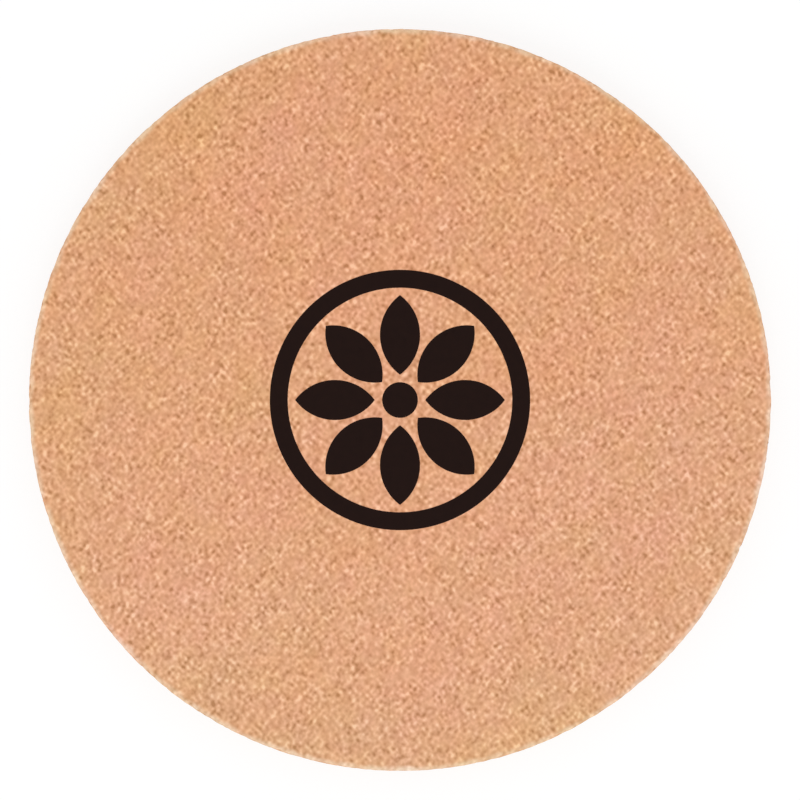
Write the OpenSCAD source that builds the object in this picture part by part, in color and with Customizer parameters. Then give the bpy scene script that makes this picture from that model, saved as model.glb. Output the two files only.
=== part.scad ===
// Round drinks coaster, die-cut from a sheet of fine-grained pressed cork, with a
// dark screen print in the middle of its upper face. Sizes are in millimetres.
// The origin is the middle of the underside, and +Z points up.

/* [Cork disc] */
// Diameter of the disc that the die cuts
disc_d = 100; // [80:1:150]
// Thickness of the cork sheet
disc_h = 5; // [3:0.5:10]
// Radius of the soft rounding along the two cut edges
edge_r = 0.5; // [0.2:0.1:1.2]

/* [Print] */
// Depth to which the ink soaks into the open grain
ink_depth = 0.1; // [0.05:0.01:0.3]
// Outer diameter of the printed ring
ring_d = 35; // [28:0.5:60]
// Width of the ring's band
ring_w = 2.4; // [1:0.1:4]
// Diameter of the printed dot in the middle
center_d = 4.8; // [3:0.1:8]
// Bare cork between a petal's inner tip and the dot
root_gap = 1; // [0.5:0.1:2]
// Bare cork between a petal's outer tip and the ring
tip_gap = 1; // [0.5:0.1:2]
// Bare cork between one petal's side and the next
petal_gap = 0.7; // [0.3:0.1:1.4]

/* [Hidden] */
$fn = 96;
cork_color = [0.88, 0.66, 0.49];
ink_color = [0.14, 0.09, 0.09];
petal_count = 8;
// How far the print's recess is cut past the open face
cut_past = 1;

disc_r = disc_d / 2;
petal_step = 360 / petal_count;
petal_in = center_d / 2 + root_gap;
petal_out = ring_d / 2 - ring_w - tip_gap;
petal_mid = (petal_in + petal_out) / 2;
petal_half = (petal_out - petal_in) / 2;

// A petal is where two equal circles overlap. Their centres lie arc_back to either
// side of the petal's own line, so that each circle passes through both tips and
// just touches the line that runs half of petal_gap from the middle of the gap.
half_step = petal_step / 2;
room = petal_mid * sin(half_step) - petal_gap / 2;
arc_back = (room * cos(half_step) - sqrt(pow(room, 2) - pow(petal_half * sin(half_step), 2)))
           / pow(sin(half_step), 2);
arc_r = norm([arc_back, petal_half]);

function petal_name(i) = str("print_petal_", i);

// Half of the disc's section, from its axis out to the cut edge
module disc_section() {
    square([disc_r - edge_r, disc_h]);
    translate([0, edge_r]) square([disc_r, disc_h - 2 * edge_r]);
    for (z = [edge_r, disc_h - edge_r])
        translate([disc_r - edge_r, z]) circle(r = edge_r);
}

module ring_outline() {
    difference() {
        circle(d = ring_d);
        circle(d = ring_d - 2 * ring_w);
    }
}

module center_outline() {
    circle(d = center_d);
}

// The first petal points along +Y, and the rest follow it round
module petal_outline(i) {
    rotate(90 + (i - 1) * petal_step)
        translate([petal_mid, 0])
            intersection_for(side = [-1, 1])
                translate([0, side * arc_back]) circle(r = arc_r);
}

// What lies inside an outline, from the depth of the ink up to the open face
module soaked(past = 0) {
    translate([0, 0, disc_h - ink_depth])
        linear_extrude(ink_depth + past) children();
}

module cork_disc() {
    color(cork_color)
        difference() {
            rotate_extrude() disc_section();
            soaked(cut_past) ring_outline();
            soaked(cut_past) center_outline();
            for (i = [1 : petal_count]) soaked(cut_past) petal_outline(i);
        }
}

module print_ring() {
    color(ink_color) soaked() ring_outline();
}

module print_center() {
    color(ink_color) soaked() center_outline();
}

module print_petal(i) {
    color(ink_color) soaked() petal_outline(i);
}

cork_disc();
print_ring();
print_center();
for (i = [1 : petal_count])
    print_petal(i);
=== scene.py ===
import math

import bpy
import numpy as np
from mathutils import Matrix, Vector
from mathutils.geometry import delaunay_2d_cdt


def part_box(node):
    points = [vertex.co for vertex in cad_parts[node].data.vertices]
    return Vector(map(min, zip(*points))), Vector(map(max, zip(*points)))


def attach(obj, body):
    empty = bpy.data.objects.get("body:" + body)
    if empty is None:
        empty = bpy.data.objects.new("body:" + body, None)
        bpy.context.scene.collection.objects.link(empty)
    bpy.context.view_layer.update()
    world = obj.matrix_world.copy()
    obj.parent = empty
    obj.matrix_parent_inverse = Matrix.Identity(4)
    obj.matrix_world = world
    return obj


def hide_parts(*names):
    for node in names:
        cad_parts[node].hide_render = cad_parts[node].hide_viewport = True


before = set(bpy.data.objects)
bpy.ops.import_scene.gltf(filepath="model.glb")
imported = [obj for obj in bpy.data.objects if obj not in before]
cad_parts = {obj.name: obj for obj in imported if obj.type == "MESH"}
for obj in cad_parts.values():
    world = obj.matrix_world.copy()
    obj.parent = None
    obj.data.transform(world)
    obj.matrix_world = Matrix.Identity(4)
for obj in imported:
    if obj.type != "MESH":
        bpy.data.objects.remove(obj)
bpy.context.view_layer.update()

# Cork disc
# One round piece die-cut from a sheet of pressed cork: bark ground to grains about half a
# millimetre across, glued under heat and sanded flat, so that small pits stay open between
# the grains. The cut edges are rounded a little, and a painted highlight makes them paler.
disc_low, disc_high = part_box("cork_disc")
disc_radius = (disc_high.x - disc_low.x) / 2
disc_height = disc_high.z - disc_low.z
edge_radius = 0.0005
flat_radius = disc_radius - edge_radius
edge_run = edge_radius * math.pi / 2
wall_run = disc_height - 2 * edge_radius
sheet_radius = flat_radius + 2 * edge_run + wall_run
grain_size = 0.00055
grain_shake = 0.45  # as a share of the grain size
grain_draw = np.random.default_rng(seed=7)

# The outlines of the print come first, because the grains are split along them
outline_step = 0.0004
outline_gap = 0.45 * grain_size
ring_reach = [math.hypot(v.co.x, v.co.y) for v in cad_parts["print_ring"].data.vertices]
ring_inner, ring_outer = min(ring_reach), max(ring_reach)
dot_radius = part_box("print_center")[1].x
petal_low, petal_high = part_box("print_petal_1")
petal_nodes = sorted(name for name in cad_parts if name.startswith("print_petal"))


def circle_line(radius):
    """The points of a circle about the disc's axis."""
    turn = np.linspace(0, math.tau, round(math.tau * radius / outline_step), endpoint=False)
    return radius * np.column_stack((np.cos(turn), np.sin(turn)))


def petal_line(turn):
    """The points of a petal: two equal arcs that meet at its tips, turned about the disc's axis."""
    half_length = (petal_high.y - petal_low.y) / 2
    half_width = (petal_high.x - petal_low.x) / 2
    arc_back = (half_length**2 - half_width**2) / (2 * half_width)
    arc_radius = arc_back + half_width
    reach = math.asin(half_length / arc_radius)
    sweep = np.linspace(-reach, reach, round(2 * reach * arc_radius / outline_step), endpoint=False)
    side = np.column_stack((arc_radius * np.cos(sweep) - arc_back, arc_radius * np.sin(sweep)))
    points = np.vstack((side, -side)) + (0, (petal_low.y + petal_high.y) / 2)
    cos, sin = math.cos(turn), math.sin(turn)
    return points @ np.array(((cos, sin), (-sin, cos)))


print_lines = {
    "print_ring": [circle_line(ring_outer), circle_line(ring_inner)],
    "print_center": [circle_line(dot_radius)],
}
for index, name in enumerate(petal_nodes):
    print_lines[name] = [petal_line(index * math.tau / len(petal_nodes))]
all_lines = [line for lines in print_lines.values() for line in lines]


def scattered(radius):
    """One point for each grain, on a flat disc: a sunflower's spiral, shaken out of its rows.

    The spiral turns by the golden angle from each point to the next, which spreads them evenly.
    """
    count = round(math.pi * radius**2 / grain_size**2)
    order = np.arange(count) + 0.5
    out = radius * np.sqrt(order / count)
    turn = order * math.pi * (3 - math.sqrt(5))
    points = np.column_stack((out * np.cos(turn), out * np.sin(turn)))
    points += grain_draw.uniform(-grain_shake, grain_shake, points.shape) * grain_size
    return points[np.hypot(*points.T) < radius - grain_size / 2]


def clear_of_print(points):
    """Leaves out the points that lie too close to an outline to make a fair triangle with it."""
    near = np.nonzero(np.hypot(*points.T) < ring_outer + grain_size)[0]
    gaps = points[near, None] - np.vstack(all_lines)
    least = np.hypot(gaps[..., 0], gaps[..., 1]).min(1)
    return np.delete(points, near[least < outline_gap], axis=0)


def joined(points, lines=()):
    """Triangles between the points of a flat chart, none of which crosses a closed line of points."""
    corners = [Vector(point) for point in points]
    edges = [(line[i - 1], line[i]) for line in lines for i in range(len(line))]
    whole_hull, same_point = 0, 1e-9
    _, _, triangles, givens, _, _ = delaunay_2d_cdt(corners, edges, [], whole_hull, same_point)
    first_given = np.array([given[0] for given in givens])
    return first_given[np.array(triangles)]


def rolled(points):
    """Takes a flat chart's points over the rim: round the edge, down the wall and round under it."""
    out = np.hypot(*points.T)
    run = np.clip(out - flat_radius, 0, None)
    over = np.clip(run, 0, edge_run) / edge_radius
    drop = np.clip(run - edge_run, 0, wall_run)
    under = np.clip(run - edge_run - wall_run, 0, edge_run) / edge_radius
    radius = np.minimum(out, flat_radius) + edge_radius * (np.sin(over) + np.cos(under) - 1)
    height = disc_height - drop - edge_radius * (1 - np.cos(over) + np.sin(under))
    return np.column_stack((points * (radius / out)[:, None], height))


def placed(name, data):
    """A new object, put in the scene."""
    thing = bpy.data.objects.new(name, data)
    bpy.context.collection.objects.link(thing)
    return thing


def mesh_piece(name, points, faces, bake_places):
    """A mesh piece, with the flat map that the export lays its colours out on, given by face corner."""
    mesh = bpy.data.meshes.new(name)
    mesh.from_pydata(points, [], faces)
    mesh.uv_layers.new(name="OFBake").data.foreach_set("uv", np.ravel(bake_places))
    return placed(name, mesh)


# The upper chart holds the top face and the wall, drawn out flat, and the under chart the
# underside. They share the grains of the lower rim, which come first in both.
rim_count = round(math.tau * flat_radius / grain_size)
rim_turn = np.linspace(0, math.tau, rim_count, endpoint=False)
rim = np.column_stack((np.cos(rim_turn), np.sin(rim_turn)))
upper = np.vstack((rim * sheet_radius, *all_lines, clear_of_print(scattered(sheet_radius))))
under = np.vstack((rim * flat_radius, scattered(flat_radius)))
line_ends = rim_count + np.cumsum([len(line) for line in all_lines])
upper_faces = joined(upper, [range(end - len(line), end) for line, end in zip(all_lines, line_ends)])
under_faces = joined(under)[:, ::-1]

# On the map, which is 1 wide and 1 high, the charts are two discs that lie corner to corner
upper_middle, upper_reach = 0.39, 0.38
under_middle, under_reach = 0.80, 0.19
upper_map = upper_middle + upper_reach * upper / sheet_radius
under_map = under_middle + under_reach * under * (-1, 1) / flat_radius
cork_map = np.vstack((upper_map[upper_faces], under_map[under_faces]))

# The two charts become one mesh, joined at the rim that they share
shared = under_faces < rim_count
under_faces = np.where(shared, under_faces, under_faces + len(upper) - rim_count)
underside = np.pad(under[rim_count:], ((0, 0), (0, 1)))
cork_points = np.vstack((rolled(upper), underside))
cork = mesh_piece("cork_disc_grain", cork_points, np.vstack((upper_faces, under_faces)), cork_map)


class Wiring:
    """Adds nodes to a node tree and wires them together."""

    def __init__(self, tree):
        self.tree = tree

    def add(self, kind, inputs=None, **settings):
        """A new node with its settings, and with each input set to a value or wired to an output."""
        node = self.tree.nodes.new(kind)
        for name, value in settings.items():
            setattr(node, name, value)
        for name, value in (inputs or {}).items():
            self.feed(node, name, value)
        return node

    def feed(self, node, name, value):
        """Sets a node's input to a value, or wires it to another node's output."""
        if isinstance(value, bpy.types.NodeSocket):
            self.tree.links.new(value, node.inputs[name])
        else:
            node.inputs[name].default_value = value

    def calc(self, operation, *values):
        """The output of one sum on values or outputs."""
        return self.add("ShaderNodeMath", dict(enumerate(values)), operation=operation).outputs[0]

    def rise(self, value, low, high):
        """Climbs smoothly from 0 to 1 while the value goes from low to high."""
        limits = {"Value": value, "From Min": low, "From Max": high}
        return self.add("ShaderNodeMapRange", limits, interpolation_type="SMOOTHSTEP").outputs["Result"]

    def between(self, amount, first, last):
        """Goes from a first number to a last one while the amount goes from 0 to 1."""
        ends = {"Value": amount, "To Min": first, "To Max": last}
        return self.add("ShaderNodeMapRange", ends).outputs["Result"]

    def blend(self, amount, first, last, how="MIX"):
        """Goes from a first colour to a last one, or works the last one into the first."""
        colours = {"Factor": amount, "A": first, "B": last}
        return self.add("ShaderNodeMix", colours, data_type="RGBA", blend_type=how).outputs["Result"]

    def noise(self, place, size, detail=0.0, roughness=0.5):
        """Soft blots about as wide as the size, from 0 to 1 and mostly near a half."""
        inputs = {"Vector": place, "Scale": 1 / size, "Detail": detail, "Roughness": roughness}
        return self.add("ShaderNodeTexNoise", inputs).outputs["Fac"]

    def turned(self, place, angles, stretch, aside=(0, 0, 0)):
        """A place along a way of its own: moved aside, turned about X, Y and Z, and drawn out."""
        inputs = {"Vector": place, "Location": aside, "Rotation": angles, "Scale": (stretch, 1, 1)}
        return self.add("ShaderNodeMapping", inputs, vector_type="TEXTURE").outputs["Vector"]


def started_material(name):
    """A new material, and the wiring for its nodes."""
    material = bpy.data.materials.new(name)
    material.use_nodes = True
    return material, Wiring(material.node_tree)


def display_colour(red, green, blue):
    """A colour from its display values of 0 to 255, by the standard curve for screens."""
    shares = [value / 255 for value in (red, green, blue)]
    linear = [s / 12.92 if s <= 0.04045 else ((s + 0.055) / 1.055) ** 2.4 for s in shares]
    return (*linear, 1)


def matt_surface(material, colour, relief, bump, bump_height, roughness, shine):
    """Gives a material its colour, its shine, and bumps and a roughness that follow a relief."""
    wiring = Wiring(material.node_tree)
    shader = material.node_tree.nodes["Principled BSDF"]
    raised = wiring.add("ShaderNodeBump", {"Height": relief, "Strength": bump, "Distance": bump_height})
    wiring.feed(shader, "Base Color", colour)
    wiring.feed(shader, "Roughness", wiring.between(relief, *roughness))
    wiring.feed(shader, "Normal", raised.outputs["Normal"])
    wiring.feed(shader, "Specular IOR Level", shine)


# The edges, where the wall meets a face, carry a painted highlight: a pale band with ragged sides, where
# the grain also shows less contrast
highlight_size = 0.002
highlight_detail = 3.0
rim_highlight = 2 * edge_radius
face_highlight = 1.4 * edge_radius
highlight_contrast = 0.35


def painted_edge_highlight(wiring, way, out, up):
    """How strongly the painted edge highlight lies on a place, from 0 to 1, by its distance out from the
    axis and up from the table.
    """
    off_middle = wiring.calc("ABSOLUTE", wiring.calc("SUBTRACT", up, disc_height / 2))
    ragged = wiring.between(wiring.noise(way, highlight_size, highlight_detail), -edge_radius, edge_radius)
    bands = [
        wiring.rise(wiring.calc("ADD", reach, ragged), limit - width, limit)
        for reach, limit, width in (
            (out, disc_radius, rim_highlight),
            (off_middle, disc_height / 2, face_highlight),
        )
    ]
    return wiring.calc("MULTIPLY", *bands)


# Two layers of dark and pale blots are drawn out along the slants of the sheet, and a third is
# rounder. Glue edges the grains, so the slanting layers are laid again to either side, weaker
# and with dark and pale exchanged.
blot_size = 0.00056
blot_detail = 1.0
blot_roughness = 0.2
slant_turns = ((0.7, 0.1, 0.84), (0.5, -0.1, 2.3))
slant_stretch = 1.82
slant_share = 0.98
round_turn = (-0.4, 0.5, 1.57)
round_stretch = 1.13
round_share = 1.13
edge_shift = 0.00035
edge_share = -0.22


def blots(wiring, place):
    """All the layers of blots together, dark below 0 and pale above it."""
    slanting = [
        (turn, slant_stretch, shift, share)
        for turn in slant_turns
        for shift, share in ((0, slant_share), (edge_shift, edge_share), (-edge_shift, edge_share))
    ]
    total = 0.0
    for turn, stretch, shift, share in (*slanting, (round_turn, round_stretch, 0, round_share)):
        about_z = turn[2]
        aside = (-shift * math.sin(about_z), shift * math.cos(about_z), 0)
        way = wiring.turned(place, turn, stretch, aside)
        blot = wiring.calc("SUBTRACT", wiring.noise(way, blot_size, blot_detail, blot_roughness), 0.5)
        total = wiring.calc("MULTIPLY_ADD", blot, share, total)
    return total


# The blots are faint in some patches and strong in others, and each grain adds its own tone
patch_size = 0.0018
faint_blots, strong_blots = 0.22, 0.97
grain_share = 0.12


def cork_tone(wiring, place, way, edge_highlight):
    """From 0, dark, to 1, pale, and nearer to a half under the painted edge highlight."""
    strength = wiring.between(wiring.noise(way, patch_size), faint_blots, strong_blots)
    grain = wiring.add("ShaderNodeAttribute", attribute_name="tone").outputs["Fac"]
    grain_contrast = wiring.calc("MULTIPLY", wiring.calc("SUBTRACT", grain, 0.5), grain_share)
    contrast = wiring.calc("MULTIPLY_ADD", blots(wiring, place), strength, grain_contrast)
    return wiring.calc("MULTIPLY_ADD", contrast, wiring.between(edge_highlight, 1.0, highlight_contrast), 0.5)


cork_tones = {
    0.15: (188, 130, 88),
    0.35: (214, 153, 113),
    0.5: (227, 167, 127),
    0.65: (241, 181, 141),
    0.85: (255, 203, 163),
}


def toned(wiring, tone):
    """The colour of cork that has a tone."""
    ramp = wiring.add("ShaderNodeValToRGB", {"Fac": tone})
    stops = ramp.color_ramp.elements
    for position, colour in cork_tones.items():
        stops.new(position).color = display_colour(*colour)

    # A new ramp has a stop at either end, which isn't one of the tones
    stops.remove(stops[-1])
    stops.remove(stops[0])
    return ramp.outputs["Color"]


# The tint drifts from red to green, from blue to yellow, across the sheet and out to the handled
# rim. Painted light makes the near side, toward the window, paler and the far side darker and
# yellower, and a painted highlight makes the cut edges paler. A tint is a factor for each of red, green
# and blue.
drift_turns = ((0.7, 0.3, 0.3), (-0.4, 0.5, 1.35))
drift_stretch = 1.45
drift = {"size": 0.022, "detail": 4.0, "roughness": 0.9}
redder, greener = (1.08, 0.92, 1), (0.92, 1.08, 1)
bluer, yellower = (1, 1, 1.28), (1, 1, 0.72)
# Painted light: paler on the near side, toward the window, darker and yellower on the far side
painted_lit_side, painted_shaded_side = (0.996, 1.025, 1.055), (1.004, 0.978, 0.94)
handled_radius = 0.75 * disc_radius
unhandled, handled = (1, 0.995, 1.01), (0.98, 1.02, 0.97)
# Painted highlight: a pale tint for the cut edges, standing in for the light they catch
no_highlight, highlight_pale = (1, 1, 1), (1.16, 1.58, 2.05)
cork_finish = {"bump": 0.3, "bump_height": 0.0001, "roughness": (0.95, 0.8), "shine": 0.2}


def cork_material():
    """Sanded cork: every grain has its own tone, the colour drifts a little over the disc, and painted
    light makes the near side and the cut edges paler.
    """
    material, wiring = started_material("pressed_cork")
    place = wiring.add("ShaderNodeTexCoord").outputs["Object"]
    x, y, z = wiring.add("ShaderNodeSeparateXYZ", {"Vector": place}).outputs
    across = wiring.add("ShaderNodeCombineXYZ", {"X": x, "Y": y}).outputs[0]
    out = wiring.add("ShaderNodeVectorMath", {0: across}, operation="LENGTH").outputs["Value"]
    one_way, other_way = (wiring.turned(place, turn, drift_stretch) for turn in drift_turns)

    edge_highlight = painted_edge_highlight(wiring, other_way, out, z)
    tone = cork_tone(wiring, place, one_way, edge_highlight)
    colour = toned(wiring, tone)
    for amount, first, last in (
        (wiring.noise(one_way, **drift), redder, greener),
        (wiring.noise(other_way, **drift), bluer, yellower),
        # Painted light, paler toward the window on the near side
        (wiring.rise(y, -disc_radius, disc_radius), painted_lit_side, painted_shaded_side),
        (wiring.rise(out, handled_radius, disc_radius), unhandled, handled),
        # Painted highlight, paler along the cut edges
        (edge_highlight, no_highlight, highlight_pale),
    ):
        tint = wiring.blend(amount, (*first, 1), (*last, 1))
        colour = wiring.blend(1.0, colour, tint, "MULTIPLY")
    matt_surface(material, colour, tone, **cork_finish)
    return material


def grain_tree(material):
    """Gives every grain a tone, sinks the darker ones, and opens a pit where a grain has come away."""
    tree = bpy.data.node_groups.new("Cork grain", "GeometryNodeTree")
    tree.interface.new_socket("Geometry", in_out="INPUT", socket_type="NodeSocketGeometry")
    for name in ("Clearance", "Relief", "Pit Depth", "Pit Tone"):
        tree.interface.new_socket(name, in_out="INPUT", socket_type="NodeSocketFloat")
    tree.interface.new_socket("Seed", in_out="INPUT", socket_type="NodeSocketInt")
    tree.interface.new_socket("Geometry", in_out="OUTPUT", socket_type="NodeSocketGeometry")
    wiring = Wiring(tree)
    given = wiring.add("NodeGroupInput").outputs

    # A tone is the mean of two random values, so that most grains are near the middle one
    next_seed = wiring.add("FunctionNodeIntegerMath", {0: given["Seed"], 1: 1}).outputs[0]
    one = wiring.add("FunctionNodeRandomValue", {"Seed": given["Seed"]}).outputs["Value"]
    other = wiring.add("FunctionNodeRandomValue", {"Seed": next_seed}).outputs["Value"]
    tone = wiring.calc("MULTIPLY", wiring.calc("ADD", one, other), 0.5)

    # The clearance keeps the print under the top of the frame, so only the top face has it
    outward = wiring.add("GeometryNodeInputNormal").outputs["Normal"]
    upward = wiring.add("ShaderNodeSeparateXYZ", {"Vector": outward}).outputs["Z"]
    clear = wiring.calc("MULTIPLY", given["Clearance"], wiring.calc("MAXIMUM", upward, 0.0))
    sunk = wiring.between(tone, given["Relief"], 0.0)
    pit = wiring.between(wiring.calc("DIVIDE", tone, given["Pit Tone"]), given["Pit Depth"], 0.0)
    depth = wiring.calc("ADD", clear, wiring.calc("ADD", sunk, pit))
    inward = {0: outward, "Scale": wiring.calc("MULTIPLY", depth, -1.0)}
    move = wiring.add("ShaderNodeVectorMath", inward, operation="SCALE").outputs[0]

    shape = given["Geometry"]
    for kind, inputs in (
        ("GeometryNodeSetPosition", {"Offset": move}),
        ("GeometryNodeStoreNamedAttribute", {"Name": "tone", "Value": tone}),
        ("GeometryNodeSetShadeSmooth", {}),
        ("GeometryNodeRealizeInstances", {}),
        ("GeometryNodeSetMaterial", {"Material": material}),
    ):
        shape = wiring.add(kind, {"Geometry": shape, **inputs}).outputs["Geometry"]
    wiring.add("NodeGroupOutput", {"Geometry": shape})
    return tree


def made_plain(piece, tree, sizes):
    """Runs a node tree on a piece with the given sizes, and leaves the result as its plain mesh."""
    modifier = piece.modifiers.new(tree.name, "NODES")
    modifier.node_group = tree
    for item in tree.interface.items_tree:
        if item.in_out == "INPUT" and item.name in sizes:
            modifier[item.identifier] = sizes[item.name]
    shown = piece.evaluated_get(bpy.context.evaluated_depsgraph_get())
    mesh = bpy.data.meshes.new_from_object(shown)
    piece.modifiers.remove(modifier)
    piece.data = mesh


grain_sizes = {
    "Clearance": 0.00003,
    "Relief": 0.00006,
    "Pit Depth": 0.00017,
    "Pit Tone": 0.15,
    "Seed": 3,
}
made_plain(cork, grain_tree(cork_material()), grain_sizes)
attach(cork, "root")
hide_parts("cork_disc")

# Print
# Ten islands of near-black ink, screen-printed on the top face: a ring, a dot and eight petals.
# The ink soaks into the open grain and dries matt, so each island is a thin film that follows
# every grain and pit under it.
film_rise = 0.00002
film_sink = 0.00003
film_sharp_angle = math.radians(60)
mottle_size = 0.001
mottle_detail = 3.0
thick_ink = display_colour(26, 13, 10)
thin_ink = display_colour(35, 20, 16)
ink_finish = {"bump": 0.2, "bump_height": 0.00003, "roughness": (0.55, 0.75), "shine": 0.06}


def ink_material():
    """Matt near-black ink, a touch browner where it lies thin."""
    material, wiring = started_material("screen_ink")
    place = wiring.add("ShaderNodeTexCoord").outputs["Object"]
    mottle = wiring.noise(place, mottle_size, mottle_detail)
    matt_surface(material, wiring.blend(mottle, thick_ink, thin_ink), mottle, **ink_finish)
    return material


def inside(points, lines):
    """Which points lie inside an odd number of the closed lines."""
    odd = np.zeros(len(points), bool)
    x, y = points.T
    for line in lines:
        for (x0, y0), (x1, y1) in zip(line, np.roll(line, -1, axis=0)):
            if y0 != y1:
                odd ^= ((y0 > y) != (y1 > y)) & (x < x0 + (y - y0) * (x1 - x0) / (y1 - y0))
    return odd


# On a film's map, which is 1 wide and 1 high, the two skins lie side by side on the lower half,
# and the wall's faces in rows of square cells above them
map_margin = 0.02
map_width = 1 - 2 * map_margin
skin_width = 0.46
wall_start = 0.51
cell_fill = 0.8


def film_map(flat, skin, wall_count):
    """The places of all the corners of a film's faces on its map."""
    flat = (flat - flat.min(0)) / np.ptp(flat, axis=0).max()
    row = math.ceil(math.sqrt(2 * wall_count))
    step = map_width / row
    order = np.arange(wall_count)
    cells = np.column_stack((map_margin + order % row * step, wall_start + order // row * step))
    cell_corners = cell_fill * step * np.array(((0, 1), (0, 0), (1, 0), (1, 1)))
    maps = (
        (map_margin + skin_width * flat)[skin],
        (map_margin + skin_width * flat * (-1, 1) + (map_width, 0))[skin[:, ::-1]],
        cells[:, None] + cell_corners,
    )
    return np.vstack([part.reshape(-1, 2) for part in maps])


def film(name, points, faces, material):
    """A closed film over some faces of the cork: two skins, and a wall round each outline."""
    used, places = np.unique(faces, return_inverse=True)
    skin = places.reshape(-1, 3)
    count = len(used)
    sides = {(a, b) for face in skin.tolist() for a, b in zip(face, face[1:] + face[:1])}
    outline = sorted(side for side in sides if side[::-1] not in sides)
    wall = [(a, a + count, b + count, b) for a, b in outline]
    upper_skin = points[used] + (0, 0, film_rise)
    lower_skin = points[used] - (0, 0, film_sink)
    film_faces = [*skin, *(skin[:, ::-1] + count), *wall]
    bake_places = film_map(points[used][:, :2], skin, len(wall))
    piece = mesh_piece(name, np.vstack((upper_skin, lower_skin)), film_faces, bake_places)
    piece.data.shade_smooth()
    piece.data.set_sharp_from_angle(angle=film_sharp_angle)
    piece.data.materials.append(material)
    return piece


grain_points = np.array([v.co for v in cork.data.vertices])
middles = grain_points[upper_faces].mean(1)
on_top = middles[:, 2] > disc_height / 2
ink = ink_material()
for name, lines in print_lines.items():
    printed = on_top & inside(middles[:, :2], lines)
    island = film(name + "_ink", grain_points, upper_faces[printed], ink)
    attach(island, "root")
    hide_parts(name)

# Table top
# A plain white board for the coaster to lie on, which isn't part of it. It shows the camera
# mostly its own white, so that the coaster's shadow on it stays faint.
board_half = 0.8
board_colour = (0.8, 0.8, 0.8, 1)
board_glow = 1.1
board_glow_share = 0.73
board_corners = [(x * board_half, y * board_half, 0) for x, y in ((-1, -1), (1, -1), (1, 1), (-1, 1))]
board_mesh = bpy.data.meshes.new("table_top")
board_mesh.from_pydata(board_corners, [], [(0, 1, 2, 3)])
board = placed("table_top", board_mesh)


def seen(wiring):
    """1 for a ray that shows a surface to the camera, also in a shine or through glass, and else 0."""
    ray = wiring.add("ShaderNodeLightPath").outputs
    shown = wiring.calc("MAXIMUM", ray["Is Camera Ray"], ray["Is Glossy Ray"])
    return wiring.calc("MAXIMUM", shown, ray["Is Transmission Ray"])


def board_material():
    """White board, with most of its white in what the camera sees and not in the light it gives back."""
    material, wiring = started_material("white_board")
    material.node_tree.nodes.clear()
    matt = wiring.add("ShaderNodeBsdfDiffuse", {"Color": board_colour}).outputs[0]
    white = wiring.add("ShaderNodeEmission", {"Strength": board_glow}).outputs[0]
    share = wiring.calc("MULTIPLY", seen(wiring), board_glow_share)
    surface = wiring.add("ShaderNodeMixShader", {0: share, 1: matt, 2: white}).outputs[0]
    wiring.add("ShaderNodeOutputMaterial", {"Surface": surface})
    return material


board_mesh.materials.append(board_material())

# Light
# A white room, brighter round the sides than overhead, and one large soft window on the near
# side. Together they light a level face so that a colour shows about as it is written.
side_glow, overhead_glow = 1.25, 0.62
plain_white = 1.0
room = bpy.data.worlds.new("white_room")
room.use_nodes = True
room.node_tree.nodes.clear()
wiring = Wiring(room.node_tree)
toward = wiring.add("ShaderNodeTexCoord").outputs["Generated"]
up = wiring.add("ShaderNodeSeparateXYZ", {"Vector": toward}).outputs["Z"]
glow = wiring.between(seen(wiring), wiring.between(up, side_glow, overhead_glow), plain_white)
walls = wiring.add("ShaderNodeBackground", {"Color": (1, 1, 1, 1), "Strength": glow}).outputs[0]
wiring.add("ShaderNodeOutputWorld", {"Surface": walls})
bpy.context.scene.world = room

window_light = bpy.data.lights.new("window", "AREA")
window_light.energy = 1.4
window_light.size = 0.5
window = placed("window", window_light)
window.location = (0, -0.5, 0.7)
window.rotation_euler = (-window.location).to_track_quat("-Z", "Y").to_euler()

# Camera
# It looks straight down at the middle of the disc, with +Y up in the picture. The disc's rim
# lies 371.3 pixels from the middle of a picture 800 pixels wide.
rim_pixels = 371.3
picture_pixels = 800
view_width = disc_radius * picture_pixels / rim_pixels
lens = bpy.data.cameras.new("camera")
lens.lens = 100
lens.sensor_width = 36
camera = placed("camera", lens)
camera.location = (0, 0, disc_height - edge_radius + view_width * lens.lens / lens.sensor_width)
bpy.context.scene.camera = camera
bpy.context.scene.view_settings.view_transform = "Standard"
